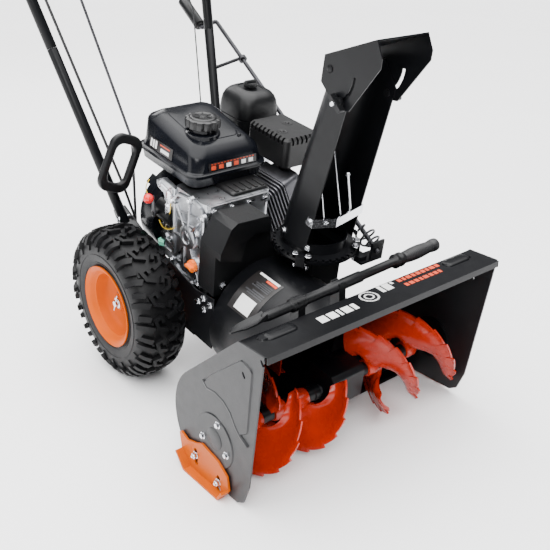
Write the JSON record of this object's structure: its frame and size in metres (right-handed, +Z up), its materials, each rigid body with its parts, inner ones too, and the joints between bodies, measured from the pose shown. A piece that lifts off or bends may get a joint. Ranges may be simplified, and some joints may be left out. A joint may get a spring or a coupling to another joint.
{
  "type": "two stage snowblower",
  "caption": "Wheeled walk-behind snowblower: ribbon auger housing, impeller drum with turning chute and tilting deflector, engine, treaded tyres and twin handles.",
  "frame": {"origin": "on the ground, in the middle of the machine length and width", "axes": "+Z up; -Y forwards (towards the auger); +X to the right when the machine is seen from its front"},
  "size_m": [0.602, 1.096, 1.0102],
  "materials": {
    "dark_paint": "satin textured powder coat, near black",
    "orange_paint": "gloss enamel, orange",
    "cast_alloy": "as-cast, slightly rough",
    "steel": "bright zinc-plated",
    "dark_steel": "oiled, dark",
    "tyre": "moulded, deep chevron tread",
    "grip_rubber": "matt, moulded",
    "belt_rubber": "matt",
    "black_plastic": "fine grain, semi-matt",
    "red_plastic": "gloss",
    "orange_plastic": "gloss",
    "green_plastic": "gloss"
  },
  "bodies": {
    "machine": {"auger_housing": "dark_paint", "side_plate_left": "dark_paint", "side_plate_right": "dark_paint", "scraper_bar": "dark_paint", "impeller_drum": "dark_paint", "gearbox_case": "dark_paint", "shaft_bearings": "dark_paint", "drive_belts": "belt_rubber", "belt_cover": "black_plastic", "chassis": "dark_paint", "bottom_cover": "dark_paint", "drive_chain": "dark_steel", "crankcase": "cast_alloy", "cylinder": "cast_alloy", "muffler": "dark_paint", "heater_box": "black_plastic", "carburettor": "cast_alloy", "starter_motor": "dark_paint", "flywheel_shroud": "dark_paint", "fuel_tank": "dark_paint", "handle_tube_left": "dark_paint", "handle_tube_right": "dark_paint", "upper_handle": "dark_paint", "dash_panel": "black_plastic", "handle_grips": "grip_rubber", "control_cables": "grip_rubber", "chute_ring_clamps": "dark_paint", "crank_eye": "dark_steel", "tool_clips": "black_plastic", "frame_bolts": "steel"},
    "auger": {"auger_left": "orange_paint", "auger_right": "orange_paint", "auger_shaft": "dark_steel"},
    "impeller": {"impeller": "orange_paint", "impeller_shaft": "dark_steel"},
    "crankshaft": {"crankshaft_pulley": "dark_steel"},
    "drive_disc": {"friction_disc": "dark_steel"},
    "transmission": {"transmission_shaft": "dark_steel"},
    "wheels": {"axle": "dark_steel", "wheel_rims": "orange_paint", "wheel_tyres": "tyre"},
    "skid_left": {"skid_shoe_left": "orange_paint"},
    "skid_right": {"skid_shoe_right": "orange_paint"},
    "chute_turret": {"chute": "dark_paint", "chute_guard": "steel", "wing_knobs": "black_plastic"},
    "deflector": {"chute_deflector": "dark_paint"},
    "crank": {"chute_crank": "dark_steel", "crank_grip": "black_plastic"},
    "choke": {"choke_knob": "black_plastic"},
    "recoil_grip": {"starter_grip": "black_plastic"},
    "tank_cap": {"fuel_cap": "black_plastic"},
    "throttle": {"throttle_lever": "red_plastic"},
    "filler_plug": {"oil_dipstick": "orange_plastic"},
    "drain_plug": {"drain_cap": "green_plastic"},
    "clutch_left": {"clutch_lever_left": "dark_paint"},
    "clutch_right": {"clutch_lever_right": "dark_paint"},
    "gear_lever": {"speed_lever": "dark_paint"},
    "gear_rod": {"speed_rod": "steel"},
    "shovel_tool": {"clean_out_tool": "black_plastic"}
  },
  "joints": [
    {"name": "auger_spin", "type": "hinge", "parent": "machine", "child": "auger", "pos_m": [0, -0.407, 0.105], "axis": [1, 0, 0], "continuous": true},
    {"name": "impeller_spin", "type": "hinge", "parent": "machine", "child": "impeller", "pos_m": [0, -0.22247, 0.15719], "axis": [0, 0.9903, 0.1392], "continuous": true},
    {"name": "crankshaft_spin", "type": "hinge", "parent": "machine", "child": "crankshaft", "pos_m": [-0.01, -0.15088, 0.29449], "axis": [0, 0.9903, 0.1392], "continuous": true},
    {"name": "drive_disc_spin", "type": "hinge", "parent": "machine", "child": "drive_disc", "pos_m": [0, -0.12177, 0.15922], "axis": [0, 0.9903, 0.1392], "continuous": true},
    {"name": "transmission_spin", "type": "hinge", "parent": "machine", "child": "transmission", "pos_m": [0, -0.06632, 0.16702], "axis": [1, 0, 0], "continuous": true},
    {"name": "wheel_spin", "type": "hinge", "parent": "machine", "child": "wheels", "pos_m": [0, 0.04, 0.165], "axis": [1, 0, 0], "continuous": true},
    {"name": "skid_left_height", "type": "slide", "parent": "machine", "child": "skid_left", "axis": [0, 0, 1], "range_m": [0, 0.009]},
    {"name": "skid_right_height", "type": "slide", "parent": "machine", "child": "skid_right", "axis": [0, 0, 1], "range_m": [0, 0.009]},
    {"name": "chute_turn", "type": "hinge", "parent": "machine", "child": "chute_turret", "pos_m": [0.087, -0.24557, 0.32157], "axis": [0, -0.1392, 0.9903], "range_deg": [-95, 95]},
    {"name": "deflector_tilt", "type": "hinge", "parent": "chute_turret", "child": "deflector", "pos_m": [0.087, -0.34064, 0.68185], "axis": [1, 0, 0], "range_deg": [0, 50]},
    {"name": "crank_turn", "type": "hinge", "parent": "machine", "child": "crank", "pos_m": [0.25, 0.302, 0.67], "axis": [0.0998, 0.8615, 0.4979], "range_deg": [-1720, 1720]},
    {"name": "choke_turn", "type": "hinge", "parent": "machine", "child": "choke", "pos_m": [0.163, 0.05623, 0.57403], "axis": [0, -0.1392, 0.9903], "range_deg": [0, 90]},
    {"name": "recoil_pull", "type": "slide", "parent": "machine", "child": "recoil_grip", "axis": [-0.9701, -0.0338, 0.2402], "range_m": [0, 0.4], "stiffness_N_per_m": 30, "springref_m": -0.1},
    {"name": "tank_cap_turn", "type": "hinge", "parent": "machine", "child": "tank_cap", "pos_m": [-0.02, -0.02278, 0.53263], "axis": [0, -0.1392, 0.9903], "range_deg": [0, 90]},
    {"name": "throttle_swing", "type": "hinge", "parent": "machine", "child": "throttle", "pos_m": [-0.121, 0.01868, 0.35265], "axis": [1, 0, 0], "range_deg": [-20, 35]},
    {"name": "filler_plug_turn", "type": "hinge", "parent": "machine", "child": "filler_plug", "pos_m": [-0.105, -0.09691, 0.26976], "axis": [-1, 0, 0], "range_deg": [0, 180]},
    {"name": "drain_plug_turn", "type": "hinge", "parent": "machine", "child": "drain_plug", "pos_m": [-0.103, 0.02064, 0.28123], "axis": [0, -0.1392, 0.9903], "range_deg": [0, 180]},
    {"name": "clutch_left_squeeze", "type": "hinge", "parent": "machine", "child": "clutch_left", "pos_m": [-0.23503, 0.40664, 0.92524], "axis": [-1, 0, 0], "range_deg": [0, 25], "stiffness_Nm_per_rad": 1.5, "springref_deg": -28.65},
    {"name": "clutch_right_squeeze", "type": "hinge", "parent": "machine", "child": "clutch_right", "pos_m": [0.23503, 0.40664, 0.92524], "axis": [-1, 0, 0], "range_deg": [0, 25], "stiffness_Nm_per_rad": 1.5, "springref_deg": -28.65},
    {"name": "gear_lever_shift", "type": "hinge", "parent": "machine", "child": "gear_lever", "pos_m": [-0.072, 0.3674, 0.86171], "axis": [1, 0, 0], "range_deg": [-20, 20]},
    {"name": "gear_rod_travel", "type": "slide", "parent": "machine", "child": "gear_rod", "axis": [0, 0.5426, 0.84], "range_m": [-0.015, 0.015]},
    {"name": "shovel_tool_lift", "type": "slide", "parent": "machine", "child": "shovel_tool", "axis": [0, 0, 1], "range_m": [0, 0.12]}
  ],
  "couplings": [
    {"joint": "impeller_spin", "follows": "auger_spin", "ratio": 10},
    {"joint": "transmission_spin", "follows": "wheel_spin", "ratio": 2.494},
    {"joint": "crank_turn", "follows": "chute_turn", "ratio": -18},
    {"joint": "gear_rod_travel", "follows": "gear_lever_shift", "m_per_rad": 0.04}
  ]
}
